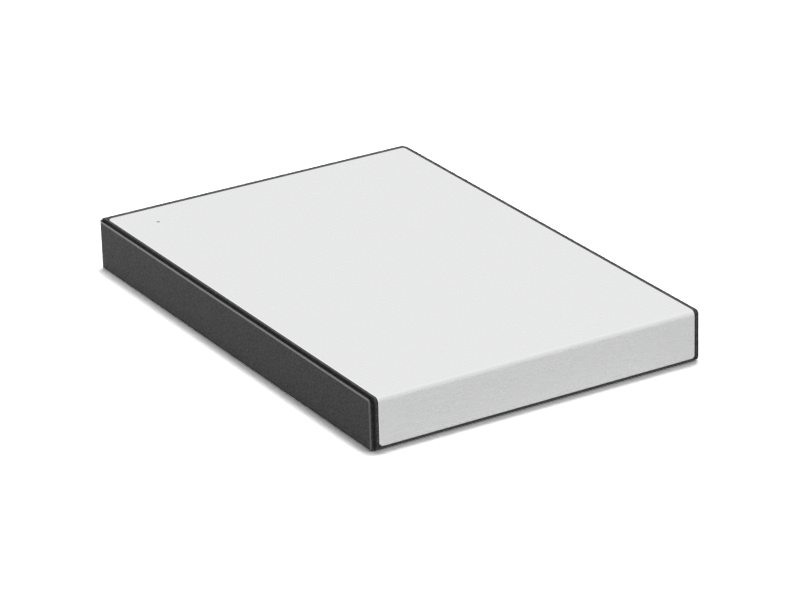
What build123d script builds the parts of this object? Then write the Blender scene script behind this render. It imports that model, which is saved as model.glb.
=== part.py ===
from build123d import *
import math
import os

# Portable hard drive, in millimetres. X runs across the width, Y along the length with the metal-wrapped
# end at -Y and the socket end at +Y, and Z up from the underside.

# Driving dimensions: disks and heads
disk_radius = 32.5
disk_bore = 10.0
disk_thickness = 0.635
disk_gap = 1.4
head_room = 0.965
shroud_gap = 0.5
fly_gap = 0.05
slider_thickness = 0.2
slider_length = 1.2
slider_width = 1.0
beam_thickness = 0.1
arm_clearance = 0.25
arm_length = 37.0
arm_plate_length = 24.0
arm_root_width = 9.0
arm_tip_width = 4.4
arm_wall = 1.2
tab_reach = 2.6
tab_width = 0.6
park_gap = 1.7
inner_track = 13.5

# Driving dimensions: spindle motor
hub_flange = 0.7
hub_flange_radius = 12.5
hub_crown = 0.75
clamp_gap = 0.085
clamp_radius = 11.6
clamp_thickness = 0.5
clamp_screw_head = 0.3
clamp_screw_head_radius = 2.2
clamp_screw_radius = 0.7
shaft_radius = 1.5
sleeve_wall = 1.7
sleeve_floor = 0.5
running_gap = 0.03
seat_gap = 0.02
motor_boss = 0.6
stator_height = 1.2
stator_ring = 1.4
stator_teeth = 9
shoe_gap_angle = 10.0
tooth_width = 1.2
winding_wall = 0.4
winding_length = 1.4
air_gap = 0.3
magnet_ring = 1.0
magnet_height = 1.8
hub_shell = 1.25

# Driving dimensions: pivot, voice coil and magnets
pivot_clear = 7.63
pivot_radius = 1.6
bearing_radius = 4.2
arm_hub_radius = 6.2
coil_angle = 140.0
coil_half_span = 14.0
coil_inner = 11.0
coil_outer = 19.5
coil_wall = 2.2
coil_thickness = 1.3
coil_gap = 0.3
fork_width = 1.4
fork_half_angle = 18.5
fork_sweep = 21.5
magnet_thickness = 0.6
yoke_outer = 20.8
yoke_inner = 10.0
yoke_leg_angle = 3.5
yoke_leg_gap = 2.0
yoke_top_gap = 0.2
yoke_side_gap = 0.2
ramp_gap = 0.1
ramp_depth = 3.2
ramp_width = 4.0
finger_width = 2.2
flex_height = 2.6
flex_thickness = 0.15
flex_gap = 0.3
flex_run = 10.0
flex_start_angle = 35.0
flex_wrap = 35.0
connector_length = 9.0
connector_width = 3.0

# Driving dimensions: drive body
well_floor = 1.8
casting_wall = 1.925
casting_end = 2.2
casting_corner = 2.0
tail_length = 26.8562
drive_cover_sheet = 0.6
gasket_thickness = 0.3
gasket_margin = 0.3
gasket_width = 0.5
coil_bay_margin = 2.2
coil_bay_right = 5.0
cover_inset = 0.4
screw_radius = 0.7
screw_head = 0.35
screw_head_radius = 1.2
screw_length = 3.0
stud_sides = 12

# Driving dimensions: drive board and its connector
drive_board_thickness = 0.6
drive_board_recess = 0.4
drive_board_gap = 0.2
chip_pocket_depth = 1.4
chip_height = 0.9
sata_width = 37.4
sata_web = 1.9
sata_side = 0.5
sata_notch_depth = 5.5
sata_notch_roof = 0.6
sata_block_depth = 1.5
tongue_length = 3.6
tongue_thickness = 1.2
tongue_level = 3.0
signal_tongue = 9.5
power_tongue = 19.6
tongue_spacing = 2.4
contact_pitch = 1.27
contact_width = 0.6
contact_thickness = 0.12
signal_contacts = 7
power_contacts = 15

# Driving dimensions: bridge board and the USB socket
bridge_thickness = 1.0
bridge_level = 2.3
rest_width = 1.6
rest_inset = 3.0
bridge_margin = 3.4
bridge_back_gap = 0.2
receptacle_depth = 5.0
receptacle_bottom = 1.6
receptacle_gap = 0.3
tongue_clearance = 0.15
port_inset = 21.0
port_main_lobe = 7.5
port_side_lobe = 5.4
port_height = 2.7
port_neck = 0.9
port_main_blade = 3.9
port_side_blade = 3.1
blade_thickness = 0.6
blade_contacts = 5
blade_setback = 1.0
insulator_depth = 1.2
port_chamfer = 0.6
port_sheet = 0.3
port_length = 6.2
port_setback = 0.3
port_clearance = 0.15
port_mouth = 0.35
bridge_chips = [
    ("bridge_chip", 38.0, (6.0, 6.0, 0.9)),
    ("flash_chip", 28.0, (5.0, 4.0, 1.4)),
    ("power_inductor", 20.0, (4.0, 4.0, 1.8)),
    ("crystal", 14.0, (3.2, 2.5, 0.8)),
]
capacitor_inset = 9.0
capacitor_size = (1.6, 0.8, 0.8)
capacitor_pitch = (2.4, 1.8)
capacitor_columns = 2
capacitor_rows = 3
light_length = 1.6
light_width = 0.8
light_inset = 9.7
light_setback = 9.8
light_height = 0.6
light_gap = 0.3
pipe_radius = 1.0
pipe_tip_radius = 0.3
pipe_clearance = 0.06

# Driving dimensions: case walls and edges
floor_thickness = 1.3
pad_thickness = 0.6
lap_thickness = 0.75
plug_thickness = 0.7
glue_thickness = 0.15
skin_thickness = 0.6
panel_lip = 0.45
panel_top_inset = 0.5
panel_front_inset = 0.86
panel_corner = 0.9
panel_edge = 0.22
post_depth = 1.05
plan_corner = 1.9
groove_width = 0.62
groove_setback = 0.25
ledge_width = 0.53
lip_setback = 0.5
side_gap = 2.475
end_wall = 1.5
front_pad_thickness = 0.65
connector_bay = 10.3
rim_width = 0.5
rim_drop = 0.1
skin_gap = 0.05
skin_drop = 0.1
seam_gap = 0.15
skin_corner = 0.8
skin_chamfer = 0.14
back_rim = 1.97
front_bend = 1.2
back_edge_radius = 0.9
bottom_edge_radius = 1.0
glue_margin = 0.6
fit = 0.1
touch = 0.001
hook_width = 6.0
hook_thickness = 0.9
hook_length = 3.4
hook_nose = 0.45
hook_nose_height = 1.1
hook_pitch = 23.0
bumper_length = 12.0
bumper_height = 5.0
bumper_from_front = 9.75
bumper_from_back = 14.0
strip_width = 8.0
strip_length = 58.0
strip_spread = 46.0
front_strip_length = 44.0
front_strip_height = 4.0

# The drive's height, width and length follow from what it holds
drive_height = well_floor + 2 * head_room + 2 * disk_thickness + disk_gap + drive_cover_sheet
well_radius = disk_radius + shroud_gap
coil_bay_span = yoke_side_gap + yoke_outer + coil_bay_right
bay_half = max(well_radius, (coil_bay_span + sata_web + sata_width + sata_side) / 2)
drive_half = bay_half + casting_wall
pivot_x = yoke_outer + yoke_side_gap - bay_half
pivot_distance = disk_radius + pivot_clear
pivot_setback = math.sqrt(pivot_distance**2 - pivot_x**2)
drive_length = casting_end + well_radius + pivot_setback + tail_length

# The case is built round the drive
side_wall = panel_lip + groove_width + ledge_width
cover_stack = skin_thickness + glue_thickness
ledge_inset = cover_stack + lap_thickness
lid_inset = ledge_inset + plug_thickness
half_width = drive_half + side_gap + side_wall
case_length = lid_inset + front_pad_thickness + drive_length + connector_bay + end_wall
top = floor_thickness + 2 * pad_thickness + drive_height + lid_inset
front = -case_length / 2
back = case_length / 2
bay_back = back - end_wall
inner_half = half_width - side_wall
lid_half = half_width - panel_lip - groove_width
recess_half = lid_half - rim_width
skin_half = recess_half - skin_gap
skin_back = back - back_rim - skin_gap
ledge_top = top - ledge_inset
ledge_front = front + ledge_inset
deck_bottom = top - lid_inset
skin_bottom = floor_thickness - skin_drop
lid_bottom = skin_bottom - seam_gap

# Levels and places in the drive
drive_bottom = floor_thickness + pad_thickness
drive_top = drive_bottom + drive_height
drive_front = front + lid_inset + front_pad_thickness
drive_back = drive_front + drive_length
drive_middle = (drive_front + drive_back) / 2
rim_top = drive_top - drive_cover_sheet - gasket_thickness
cover_inner = drive_top - drive_cover_sheet
well_z = drive_bottom + well_floor
lower_disk_z = well_z + head_room
upper_disk_z = lower_disk_z + disk_thickness + disk_gap
stack_top = upper_disk_z + disk_thickness
spindle_y = drive_front + casting_end + well_radius
pivot_y = spindle_y + pivot_setback

# The parked arm points to the ramp just outside the disks, and the swing ends at the innermost track
park_radius = disk_radius + park_gap
toward_spindle = math.degrees(math.atan2(spindle_y - pivot_y, -pivot_x))


def arm_angle(track):
    """Angle at the pivot, in degrees, between the spindle and a head that is over this track."""
    reach = pivot_distance**2 + arm_length**2 - track**2
    return math.degrees(math.acos(reach / (2 * pivot_distance * arm_length)))


park_angle = toward_spindle + arm_angle(park_radius)
swing = arm_angle(park_radius) - arm_angle(inner_track)

on_base = (Align.CENTER, Align.CENTER, Align.MIN)

os.makedirs("parts", exist_ok=True)


def save(builder, name):
    """Label one finished piece and write it as its own STEP file."""
    builder.part.label = name
    export_step(builder.part, f"parts/{name}.step")


def side_area(x, y_span, z_span, radii):
    """Rectangle seen from the side at x; radii go back bottom, back top, front top, front bottom."""
    low_y, high_y = y_span
    low_z, high_z = z_span
    corners = [(high_y, low_z), (high_y, high_z), (low_y, high_z), (low_y, low_z)]
    with BuildSketch(Plane.YZ.offset(x), mode=Mode.PRIVATE) as area:
        with BuildLine():
            FilletPolyline(*corners, radius=[max(radius, 0) for radius in radii], close=True)
        make_face()
    return area.sketch


def sector_area(plane, inner, outer, start, end):
    """Part of a ring between two angles."""
    with BuildSketch(plane, mode=Mode.PRIVATE) as area:
        with BuildLine():
            rim = CenterArc((0, 0), outer, start, end - start)
            bore = CenterArc((0, 0), inner, start, end - start)
            Line(rim @ 0, bore @ 0)
            Line(rim @ 1, bore @ 1)
        make_face()
    return area.sketch


def ring(z, height, outer, inner, place):
    """Plain ring standing on height z."""
    with BuildPart() as body:
        with BuildSketch(Plane.XY.offset(z)):
            with Locations(place):
                Circle(outer)
                Circle(inner, mode=Mode.SUBTRACT)
        extrude(amount=height)
    return body


def studs(z, height, radius, places):
    """Small round pins, heads or holes standing on height z, kept to a few sides each."""
    with BuildPart(mode=Mode.PRIVATE) as body:
        with BuildSketch(Plane.XY.offset(z)):
            with Locations(*places):
                RegularPolygon(radius, stud_sides)
        extrude(amount=height)
    return body.part


spindle = (0, spindle_y)
pivot = (pivot_x, pivot_y)

bumper_front = drive_front + bumper_from_front
bumper_back = drive_back - bumper_from_back
bumper_y = (bumper_front + bumper_back) / 2
hook_spots = [bumper_y + step * hook_pitch for step in (-1, 0, 1)]

# Lower case: floor, back wall, and side walls whose thin panels stand back from the outline

bridge_z = floor_thickness + bridge_level
bridge_top = bridge_z + bridge_thickness
bridge_front = drive_back - sata_notch_depth + sata_block_depth + receptacle_gap + receptacle_depth
bridge_back = bay_back - bridge_back_gap
bridge_half = inner_half - bridge_margin
bridge_middle = (bridge_front + bridge_back) / 2
rest_x = bridge_half - rest_inset
port_z = bridge_top + port_height / 2
port_width = port_main_lobe + port_side_lobe
port_left = port_inset - half_width - port_width / 2


def port_area(y, grow):
    """Outline of the two-lobed micro socket, larger all round by grow."""
    low = port_z - port_height / 2
    high = port_z + port_height / 2
    right = port_left + port_width
    waist = port_left + port_main_lobe
    with BuildSketch(Plane.XZ.offset(-y), mode=Mode.PRIVATE) as area:
        with BuildLine():
            Polyline(
                (port_left + port_chamfer, low),
                (waist - port_chamfer, low),
                (waist, low + port_neck),
                (waist + port_chamfer, low),
                (right - port_chamfer, low),
                (right, low + port_chamfer),
                (right, high),
                (port_left, high),
                (port_left, low + port_chamfer),
                close=True,
            )
        make_face()
        if grow:
            offset(amount=grow, kind=Kind.INTERSECTION)
    return area.sketch


floor_area = side_area(
    0, (front + lip_setback, back), (0, floor_thickness), (bottom_edge_radius, 0, 0, bottom_edge_radius)
)
back_wall_area = side_area(0, (bay_back, back), (0, ledge_top), (bottom_edge_radius, 0, 0, 0))
ledge_area = side_area(
    inner_half, (ledge_front, back), (0, ledge_top), (bottom_edge_radius, 0, 0, bottom_edge_radius)
)
panel_front = front + panel_front_inset
groove_area = side_area(
    lid_half,
    (panel_front + groove_setback, back),
    (0, ledge_top),
    (bottom_edge_radius, 0, 0, bottom_edge_radius),
)
panel_top = top - panel_top_inset
panel_back_radius = back_edge_radius - panel_top_inset + rim_drop
panel_area = side_area(
    lid_half + groove_width,
    (panel_front, back),
    (0, panel_top),
    (bottom_edge_radius, panel_back_radius, panel_corner, bottom_edge_radius),
)
post_area = side_area(
    lid_half, (back - post_depth, back), (0, panel_top), (bottom_edge_radius, panel_back_radius, 0, 0)
)
front_step = side_area(0, (front, ledge_front), (lid_bottom, top), (0, 0, 0, 0))
with BuildSketch(Plane.XZ.offset(-back)) as cross_section:
    with BuildLine():
        FilletPolyline(
            (-half_width, 0),
            (-half_width, top),
            (half_width, top),
            (half_width, 0),
            radius=[bottom_edge_radius, 0, 0, bottom_edge_radius],
            close=True,
        )
    make_face()

# Seen from above, the tray and the lid share an outline whose back corners are rounded
with BuildSketch() as plan_area:
    with BuildLine():
        FilletPolyline(
            (-half_width, front),
            (-half_width, back),
            (half_width, back),
            (half_width, front),
            radius=[0, plan_corner, plan_corner, 0],
            close=True,
        )
    make_face()

# A post behind each side panel closes the groove at the back corner and meets the lid's back rim
with BuildPart() as side_panel:
    extrude(panel_area, amount=panel_lip)
    chamfer(side_panel.faces().sort_by(Axis.X)[-1].edges(), panel_edge)
    extrude(groove_area, amount=groove_width)
    extrude(post_area, amount=groove_width)
    extrude(cross_section.sketch, amount=case_length, mode=Mode.INTERSECT)

window_bottom = deck_bottom - hook_length - fit
window_height = hook_nose_height + 3 * fit
window_width = 2 * (inner_half + hook_nose + fit)
with BuildPart() as lower_case:
    extrude(ledge_area, amount=ledge_width)
    mirror(about=Plane.YZ)
    extrude(floor_area, amount=lid_half, both=True)
    extrude(back_wall_area, amount=lid_half, both=True)
    extrude(front_step, amount=lid_half, both=True, mode=Mode.SUBTRACT)
    add(side_panel.part)
    add(side_panel.part.mirror(Plane.YZ))
    extrude(plan_area.sketch, amount=top, mode=Mode.INTERSECT)
    # Two ribs carry the bridge board
    with Locations(*[(side * rest_x, bridge_middle, floor_thickness) for side in (-1, 1)]):
        Box(rest_width, bridge_back - bridge_front, bridge_level, align=on_base)
    # Windows in the side walls catch the lid's hooks
    with Locations(*[(0, y, window_bottom) for y in hook_spots]):
        Box(window_width, hook_width + 4 * fit, window_height, align=on_base, mode=Mode.SUBTRACT)
    # Opening for the socket, flared at its mouth
    extrude(port_area(back, port_clearance), amount=end_wall, mode=Mode.SUBTRACT)
    extrude(port_area(back, port_clearance + port_mouth), amount=port_mouth, taper=45, mode=Mode.SUBTRACT)
save(lower_case, "lower_case")

# Upper case: a lid that laps over the side walls' ledges and the back wall, and turns down at the front

light_spot = (light_inset - half_width, back - light_setback)
light_top = bridge_top + light_height
lid_outline = side_area(
    0,
    (front + rim_drop, back),
    (lid_bottom, top - rim_drop),
    (0, back_edge_radius, front_bend - rim_drop, 0),
)
under_flange = side_area(0, (ledge_front, back), (0, ledge_top), (0, 0, 0, 0))
plug_outline = side_area(0, (ledge_front, bay_back - fit), (floor_thickness, ledge_top), (0, 0, 0, 0))
under_deck = side_area(0, (front + lid_inset, back), (0, deck_bottom), (0, 0, 0, 0))
cover_space = side_area(0, (front, back - back_rim), (0, top), (0, 0, 0, 0))
cover_bed = side_area(
    0,
    (front + cover_stack, back),
    (0, top - cover_stack),
    (0, 0, front_bend - cover_stack, 0),
)

with BuildSketch(Plane.XZ) as hook_section:
    outer = inner_half - fit
    with BuildLine():
        Polyline(
            (outer - hook_thickness, deck_bottom),
            (outer - hook_thickness, deck_bottom - hook_length),
            (outer, deck_bottom - hook_length),
            (outer + hook_nose, deck_bottom - hook_length + hook_nose),
            (outer + hook_nose, deck_bottom - hook_length + hook_nose_height),
            (outer, deck_bottom - hook_length + hook_nose_height),
            (outer, deck_bottom),
            close=True,
        )
    make_face()

with BuildPart() as hook:
    extrude(hook_section.sketch, amount=hook_width / 2, both=True)

with BuildPart() as cover_recess:
    extrude(cover_space, amount=recess_half, both=True)
    fillet(cover_recess.edges().filter_by(Axis.Z).group_by(Axis.Y)[-1], skin_corner + skin_gap)
    extrude(cover_bed, amount=recess_half, both=True, mode=Mode.SUBTRACT)

with BuildPart() as upper_case:
    extrude(lid_outline, amount=lid_half, both=True)
    extrude(plan_area.sketch, amount=top, mode=Mode.INTERSECT)
    extrude(under_flange, amount=lid_half, both=True, mode=Mode.SUBTRACT)
    extrude(plug_outline, amount=inner_half - fit, both=True)
    extrude(under_deck, amount=inner_half - fit, both=True, mode=Mode.SUBTRACT)
    add(cover_recess.part, mode=Mode.SUBTRACT)
    with Locations(*[(0, y, 0) for y in hook_spots]):
        add(hook.part)
        add(hook.part.mirror(Plane.YZ))
    # Hole for the tip of the light pipe
    add(studs(deck_bottom, lid_inset, pipe_tip_radius + pipe_clearance, [light_spot]), mode=Mode.SUBTRACT)
save(upper_case, "upper_case")

# Top cover: one aluminium sheet, bent over the front end, its edges cut bright

skin_outline = side_area(0, (front, skin_back), (skin_bottom, top), (0, 0, front_bend, 0))
under_skin = side_area(
    0,
    (front + skin_thickness, skin_back),
    (skin_bottom, top - skin_thickness),
    (0, 0, front_bend - skin_thickness, 0),
)


def on_outer_face(edge):
    """True for edges round the sheet's show face, but not for the two seams of the bend."""
    middle = edge @ 0.5
    bend_y = front + front_bend
    bend_z = top - front_bend
    on_top = abs(middle.Z - top) < touch
    on_front = abs(middle.Y - front) < touch
    in_bend = middle.Y < bend_y and middle.Z > bend_z
    on_bend = in_bend and math.hypot(middle.Y - bend_y, middle.Z - bend_z) > front_bend - touch
    seam = abs(middle.X) < touch and (abs(middle.Y - bend_y) < touch or abs(middle.Z - bend_z) < touch)
    return (on_top or on_front or on_bend) and not seam


with BuildPart() as top_cover:
    extrude(skin_outline, amount=skin_half, both=True)
    extrude(under_skin, amount=skin_half, both=True, mode=Mode.SUBTRACT)
    fillet(top_cover.edges().filter_by(Axis.Z).group_by(Axis.Y)[-1], skin_corner)
    fillet(top_cover.edges().filter_by(Axis.Y).group_by(Axis.Z)[0], skin_corner)
    chamfer(top_cover.edges().filter_by(on_outer_face), skin_chamfer)
    light_hole = studs(top - skin_thickness, skin_thickness, pipe_tip_radius + pipe_clearance, [light_spot])
    add(light_hole, mode=Mode.SUBTRACT)
save(top_cover, "top_cover")

# Adhesive film between the metal and the lid

film_outline = side_area(
    0,
    (front + skin_thickness, skin_back - glue_margin),
    (floor_thickness + glue_margin, top - skin_thickness),
    (0, 0, front_bend - skin_thickness, 0),
)
under_film = side_area(
    0,
    (front + cover_stack, skin_back),
    (floor_thickness, top - cover_stack),
    (0, 0, front_bend - cover_stack, 0),
)
with BuildPart() as cover_adhesive:
    extrude(film_outline, amount=skin_half - glue_margin, both=True)
    extrude(under_film, amount=skin_half, both=True, mode=Mode.SUBTRACT)
    add(studs(top - cover_stack, glue_thickness, pipe_radius, [light_spot]), mode=Mode.SUBTRACT)
save(cover_adhesive, "cover_adhesive")

# Light pipe: a clear stepped rod from the status light to the dot in the cover

pipe_foot = light_top + light_gap
with BuildPart() as light_pipe:
    add(studs(pipe_foot, deck_bottom - pipe_foot, pipe_radius, [light_spot]))
    add(studs(pipe_foot, top - pipe_clearance - pipe_foot, pipe_tip_radius, [light_spot]))
save(light_pipe, "light_pipe")

# Rubber bumpers hold the drive's sides, and foam strips hold it from below, above and in front

bumper_x = drive_half + side_gap / 2
with BuildPart() as side_bumpers:
    with Locations((0, bumper_y, drive_bottom)):
        with GridLocations(2 * bumper_x, bumper_back - bumper_front, 2, 2):
            Box(side_gap, bumper_length, bumper_height, align=on_base)
save(side_bumpers, "side_bumpers")

strip_middle = drive_front + casting_end + strip_length / 2
with BuildPart() as lower_pads:
    with Locations(*[(side * strip_spread / 2, strip_middle, floor_thickness) for side in (-1, 1)]):
        Box(strip_width, strip_length, pad_thickness, align=on_base)
save(lower_pads, "lower_pads")

with BuildPart() as upper_pads:
    with Locations(*[(side * strip_spread / 2, strip_middle, drive_top) for side in (-1, 1)]):
        Box(strip_width, strip_length, pad_thickness, align=on_base)
save(upper_pads, "upper_pads")

with BuildPart() as front_pad:
    with Locations((0, drive_front - front_pad_thickness / 2, drive_bottom)):
        Box(front_strip_length, front_pad_thickness, front_strip_height, align=on_base)
save(front_pad, "front_pad")

# Drive base: a casting with the disk well, the arm bay, the coil bay and pockets for the board below

coil_bay_edge = coil_bay_span - bay_half
coil_bay_back = pivot_y + yoke_outer + coil_bay_margin
sata_x = coil_bay_edge + sata_web + sata_width / 2
notch_front = drive_back - sata_notch_depth
notch_roof = rim_top - sata_notch_roof
arm_bay_back = pivot_y + arm_hub_radius + arm_clearance
board_top = drive_bottom + drive_board_recess + drive_board_thickness
board_left = -bay_half + casting_corner
board_front = pivot_y - arm_hub_radius - casting_corner
board_back = notch_front + sata_block_depth
chip_pocket_left = coil_bay_edge + sata_web
chip_pocket_right = bay_half - 2 * casting_corner
chip_pocket_front = arm_bay_back + casting_wall
chip_pocket_back = notch_front - casting_wall
chip_y = (chip_pocket_front + chip_pocket_back) / 2
corner_reach = casting_corner + screw_radius
chip_pocket_width = chip_pocket_right - chip_pocket_left
head_bottom = drive_top - screw_head
screw_tip = cover_inner - screw_length
cover_screw_spots = [
    (-drive_half + corner_reach, drive_front + corner_reach),
    (drive_half - corner_reach, drive_front + corner_reach),
    (-drive_half + corner_reach, drive_back - cover_inset - screw_head_radius - 2 * fit),
    (drive_half - corner_reach - casting_wall, chip_y),
]


def cavity_area(z, grow):
    """Disk well, arm bay and coil bay seen from above, larger all round by grow."""
    with BuildSketch(Plane.XY.offset(z), mode=Mode.PRIVATE) as area:
        with Locations(spindle):
            Circle(well_radius + grow)
        arm_bay_depth = arm_bay_back - spindle_y
        with Locations((0, (spindle_y + arm_bay_back) / 2)):
            Rectangle(2 * (bay_half + grow), arm_bay_depth + 2 * grow)
        with Locations(((coil_bay_edge - bay_half) / 2, (spindle_y + coil_bay_back) / 2)):
            Rectangle(coil_bay_span + 2 * grow, coil_bay_back - spindle_y + 2 * grow)
    return area.sketch


with BuildPart() as drive_base:
    with BuildSketch(Plane.XY.offset(drive_bottom)):
        with Locations((0, drive_middle)):
            RectangleRounded(2 * drive_half, drive_length, casting_corner)
    extrude(amount=rim_top - drive_bottom)
    extrude(cavity_area(well_z, 0), amount=drive_height, mode=Mode.SUBTRACT)
    # Motor boss and the bore for its bearing sleeve
    with Locations((*spindle, well_z)):
        Cylinder(shaft_radius + running_gap + sleeve_wall + stator_ring / 2, motor_boss, align=on_base)
    with Locations((*spindle, drive_bottom)):
        Cylinder(
            shaft_radius + running_gap + sleeve_wall + seat_gap,
            drive_height,
            align=on_base,
            mode=Mode.SUBTRACT,
        )
    # Pockets for the board, its chips and the plug
    board_half_width = (bay_half - board_left) / 2
    with Locations(((bay_half + board_left) / 2, (board_front + drive_back) / 2, drive_bottom)):
        Box(
            2 * (board_half_width + drive_board_gap),
            drive_back - board_front + 2 * drive_board_gap,
            drive_board_recess + drive_board_thickness,
            align=on_base,
            mode=Mode.SUBTRACT,
        )
    with Locations((chip_pocket_left + chip_pocket_width / 2, chip_y, board_top)):
        Box(
            chip_pocket_width,
            chip_pocket_back - chip_pocket_front,
            chip_pocket_depth,
            align=on_base,
            mode=Mode.SUBTRACT,
        )
    with Locations((sata_x, (notch_front + drive_back) / 2, drive_bottom)):
        Box(sata_width, sata_notch_depth, notch_roof - drive_bottom, align=on_base, mode=Mode.SUBTRACT)
    # Holes for the cover's screws
    add(studs(screw_tip, screw_length, screw_radius + seat_gap, cover_screw_spots), mode=Mode.SUBTRACT)
save(drive_base, "drive_base")

# Drive cover, its gasket and its screws

with BuildPart() as drive_cover:
    with BuildSketch(Plane.XY.offset(cover_inner)):
        with Locations((0, drive_middle)):
            RectangleRounded(2 * (drive_half - cover_inset), drive_length - 2 * cover_inset, casting_corner)
    extrude(amount=drive_cover_sheet)
    add(studs(cover_inner, drive_cover_sheet, screw_radius + fit, cover_screw_spots), mode=Mode.SUBTRACT)
    add(studs(head_bottom, screw_head, screw_head_radius + fit, cover_screw_spots), mode=Mode.SUBTRACT)
save(drive_cover, "drive_cover")

with BuildPart() as cover_gasket:
    extrude(cavity_area(rim_top, gasket_margin + gasket_width), amount=gasket_thickness)
    extrude(cavity_area(rim_top, gasket_margin), amount=gasket_thickness, mode=Mode.SUBTRACT)
save(cover_gasket, "cover_gasket")

with BuildPart() as cover_screws:
    add(studs(head_bottom, screw_head, screw_head_radius, cover_screw_spots))
    add(studs(screw_tip, head_bottom - screw_tip, screw_radius, cover_screw_spots))
save(cover_screws, "cover_screws")

# Drive board below the casting, its chips and the plug at its back edge

board_bottom = drive_bottom + drive_board_recess
with BuildPart() as drive_board:
    with Locations(((bay_half + board_left) / 2, (board_front + board_back) / 2, board_bottom)):
        Box(bay_half - board_left, board_back - board_front, drive_board_thickness, align=on_base)
    chamfer(drive_board.edges().filter_by(Axis.Z), casting_corner)
save(drive_board, "drive_board")

chip_size = chip_pocket_back - chip_pocket_front - casting_wall
chip_step = chip_pocket_width / 3
for number, name in enumerate(["drive_controller", "motor_driver", "cache_memory"]):
    with BuildPart() as chip:
        with Locations((chip_pocket_left + chip_step * (number + 0.5), chip_y, board_top)):
            Box(chip_size, chip_size, chip_height, align=on_base)
        chamfer(chip.edges().group_by(Axis.Z)[-1], chip_height / 6)
    save(chip, name)

plug_front = notch_front + seat_gap
tongue_z = drive_bottom + tongue_level
tongue_total = signal_tongue + tongue_spacing + power_tongue
signal_x = sata_x - tongue_total / 2 + signal_tongue / 2
power_x = sata_x + tongue_total / 2 - power_tongue / 2
with BuildPart() as sata_plug:
    block_height = notch_roof - fit - board_top
    with Locations((sata_x, (plug_front + board_back) / 2, board_top)):
        Box(sata_width - 2 * fit, board_back - plug_front, block_height, align=on_base)
    for x, width in ((signal_x, signal_tongue), (power_x, power_tongue)):
        with Locations((x, board_back, tongue_z)):
            Box(width, tongue_length, tongue_thickness, align=(Align.CENTER, Align.MIN, Align.MIN))
        with Locations((x - width / 2, board_back, tongue_z)):
            Box(
                tongue_thickness,
                tongue_length,
                2 * tongue_thickness,
                align=(Align.MIN, Align.MIN, Align.MIN),
            )
save(sata_plug, "sata_plug")

with BuildPart() as sata_contacts:
    for x, count in ((signal_x, signal_contacts), (power_x, power_contacts)):
        with Locations((x, board_back + tongue_length / 2, tongue_z - contact_thickness / 2)):
            with GridLocations(contact_pitch, 0, count, 1):
                Box(contact_width, tongue_length - contact_width, contact_thickness)
save(sata_contacts, "sata_contacts")

# Disk pack: hub, shaft, rotor magnet, two disks with a spacer, clamp and screw

hub_bottom = lower_disk_z - hub_flange
hub_top = stack_top - clamp_gap
hub_radius = disk_bore - running_gap
hub_bore = hub_radius - hub_shell
hub_roof = hub_top - hub_crown
sleeve_radius = shaft_radius + running_gap + sleeve_wall
with BuildPart() as spindle_hub:
    with BuildSketch(Plane.XZ.offset(-spindle_y)):
        with BuildLine():
            Polyline(
                (hub_bore, hub_bottom),
                (hub_flange_radius, hub_bottom),
                (hub_flange_radius, lower_disk_z),
                (hub_radius, lower_disk_z),
                (hub_radius, hub_top),
                (shaft_radius + seat_gap, hub_top),
                (shaft_radius + seat_gap, hub_roof),
                (hub_bore, hub_roof),
                close=True,
            )
        make_face()
    revolve(axis=Axis((0, spindle_y, 0), (0, 0, 1)))
save(spindle_hub, "spindle_hub")

sleeve_bottom = drive_bottom + drive_board_recess
with BuildPart() as spindle_shaft:
    shaft_bottom = sleeve_bottom + sleeve_floor + arm_clearance
    with Locations((*spindle, shaft_bottom)):
        Cylinder(shaft_radius, hub_top - shaft_bottom, align=on_base)
    screw_depth = 2 * clamp_thickness + hub_crown
    screw_bore = clamp_screw_radius + seat_gap
    add(studs(hub_top - screw_depth, screw_depth, screw_bore, [spindle]), mode=Mode.SUBTRACT)
save(spindle_shaft, "spindle_shaft")

rotor_magnet = ring(hub_bottom + fit, magnet_height, hub_bore - seat_gap, hub_bore - magnet_ring, spindle)
save(rotor_magnet, "rotor_magnet")

for name, z in (("lower_disk", lower_disk_z), ("upper_disk", upper_disk_z)):
    save(ring(z, disk_thickness, disk_radius, disk_bore, spindle), name)

disk_spacer = ring(lower_disk_z + disk_thickness, disk_gap, clamp_radius, disk_bore, spindle)
save(disk_spacer, "disk_spacer")

with BuildPart() as disk_clamp:
    with Locations((*spindle, stack_top)):
        Cylinder(clamp_radius, clamp_thickness, align=on_base)
    add(studs(stack_top, clamp_thickness, clamp_screw_radius + fit, [spindle]), mode=Mode.SUBTRACT)
save(disk_clamp, "disk_clamp")

with BuildPart() as clamp_screw:
    tip = hub_top - screw_depth + fit
    add(studs(tip, stack_top + clamp_thickness - tip, clamp_screw_radius, [spindle]))
    add(studs(stack_top + clamp_thickness, clamp_screw_head, clamp_screw_head_radius, [spindle]))
save(clamp_screw, "clamp_screw")

# Fixed half of the motor: bearing sleeve in the casting, stator core on the boss, and its windings

with BuildPart() as bearing_sleeve:
    sleeve_top = hub_roof - arm_clearance
    with Locations((*spindle, sleeve_bottom)):
        Cylinder(sleeve_radius, sleeve_top - sleeve_bottom, align=on_base)
    with Locations((*spindle, sleeve_bottom + sleeve_floor)):
        Cylinder(shaft_radius + running_gap, drive_height, align=on_base, mode=Mode.SUBTRACT)
save(bearing_sleeve, "bearing_sleeve")

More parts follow.
